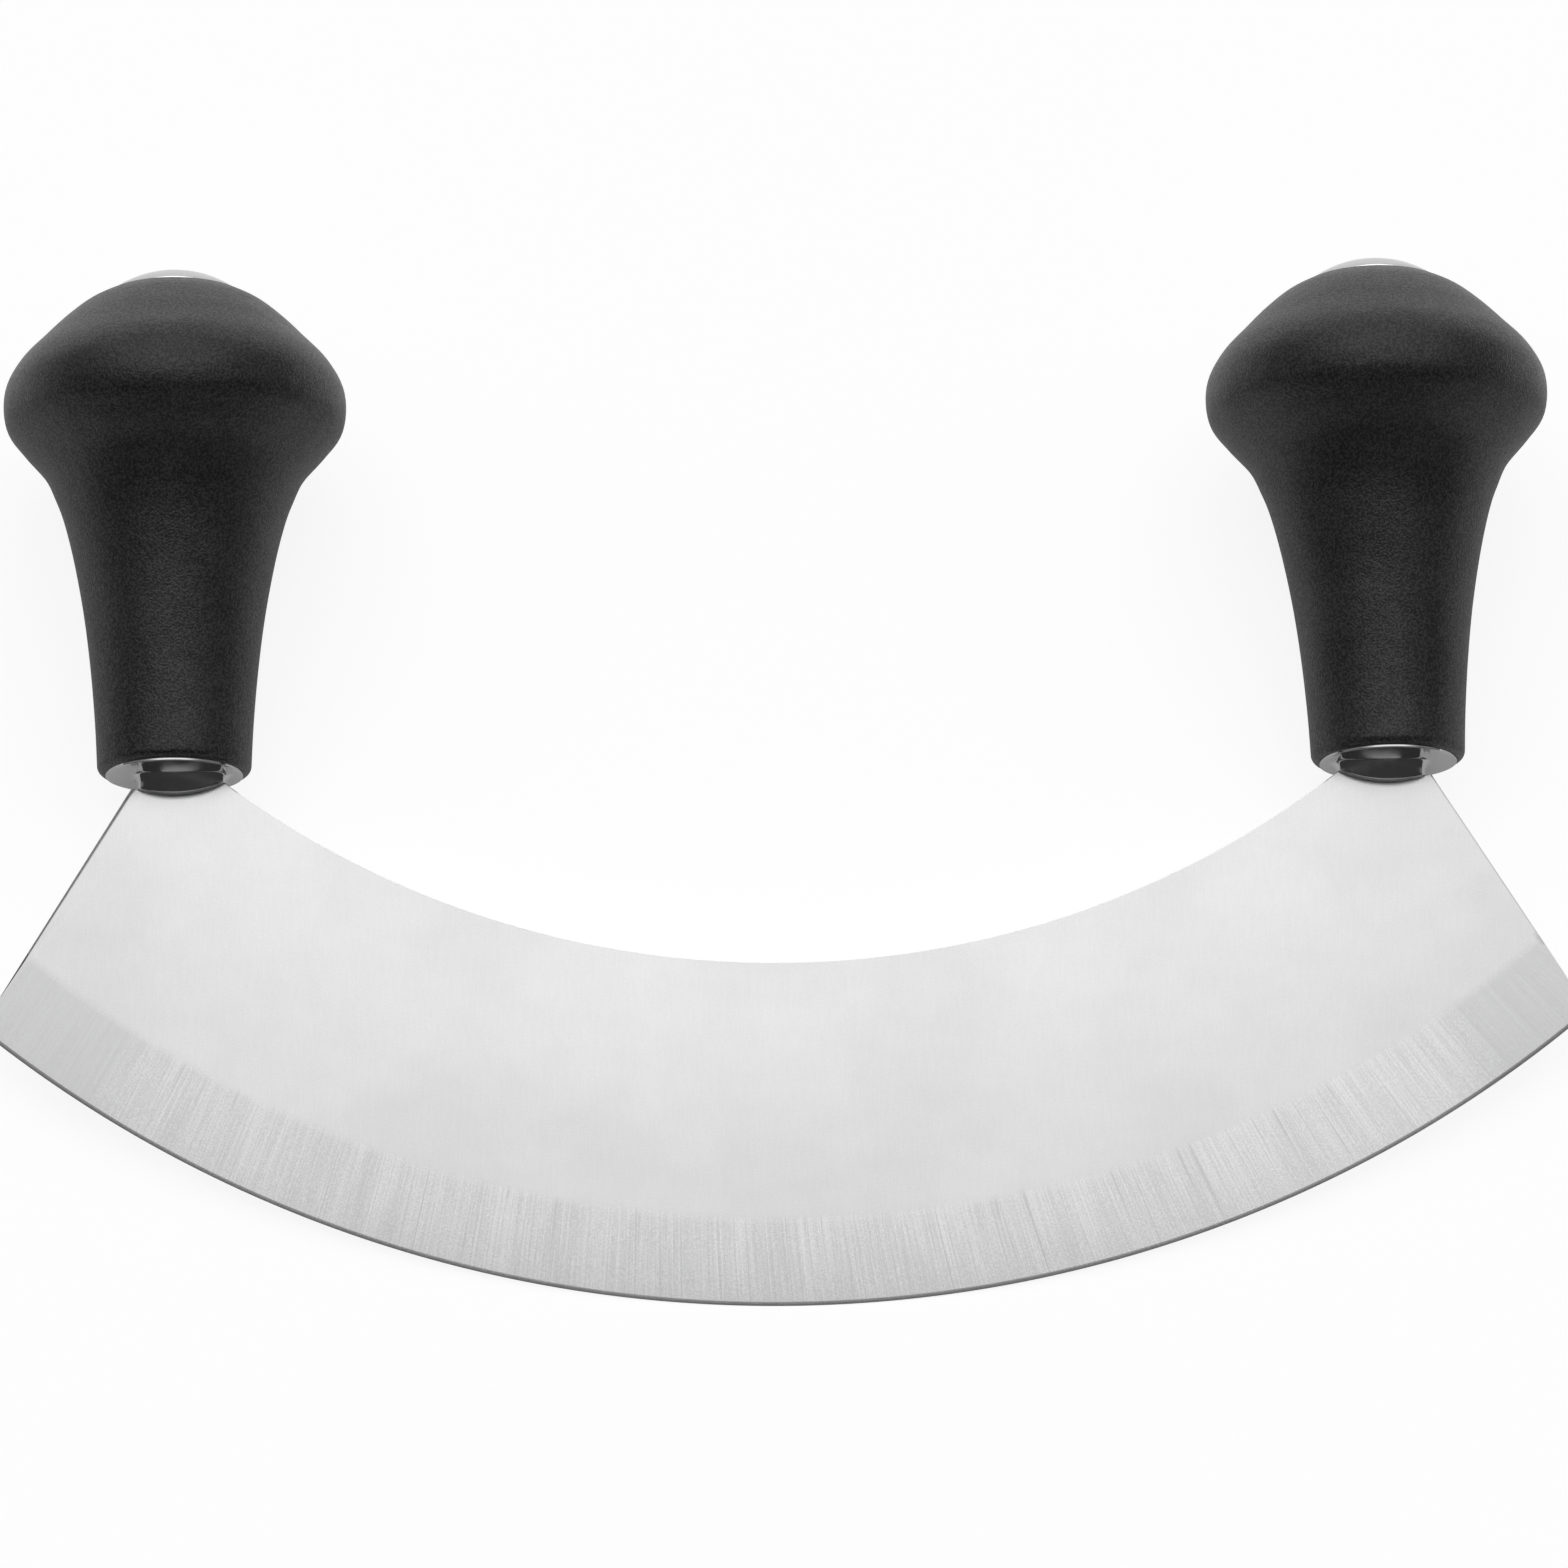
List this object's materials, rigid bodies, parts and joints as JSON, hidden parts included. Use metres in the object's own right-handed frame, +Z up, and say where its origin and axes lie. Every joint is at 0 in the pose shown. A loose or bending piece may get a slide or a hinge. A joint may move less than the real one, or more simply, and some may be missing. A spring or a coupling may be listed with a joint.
{
  "type": "mezzaluna",
  "caption": "Curved chopping blade rocked by two turned hand knobs, for mincing herbs on a board.",
  "frame": {"origin": "centre of the bounding box's bottom, on the surface that the object lies on", "axes": "+X along the blade to the right, +Y from the cutting edge to the knobs, +Z up off the table; the blade's front face looks up, tilted 10.58 degrees towards -Y"},
  "size_m": [0.23, 0.151, 0.0491],
  "materials": {
    "blade_steel": "satin cheeks, fine ground zone with lines square to the cutting edge",
    "polished_steel": "mirror polished",
    "plain_steel": "plain drawn steel, hidden",
    "black_plastic": "fine moulded grain, satin"
  },
  "bodies": {
    "root": {"blade": "blade_steel", "bolster_left": "polished_steel", "tang_rod_left": "plain_steel", "knob_left": "black_plastic", "washer_left": "plain_steel", "nut_left": "plain_steel", "end_cap_left": "polished_steel", "bolster_right": "polished_steel", "tang_rod_right": "plain_steel", "knob_right": "black_plastic", "washer_right": "plain_steel", "nut_right": "plain_steel", "end_cap_right": "polished_steel"}
  },
  "joints": []
}
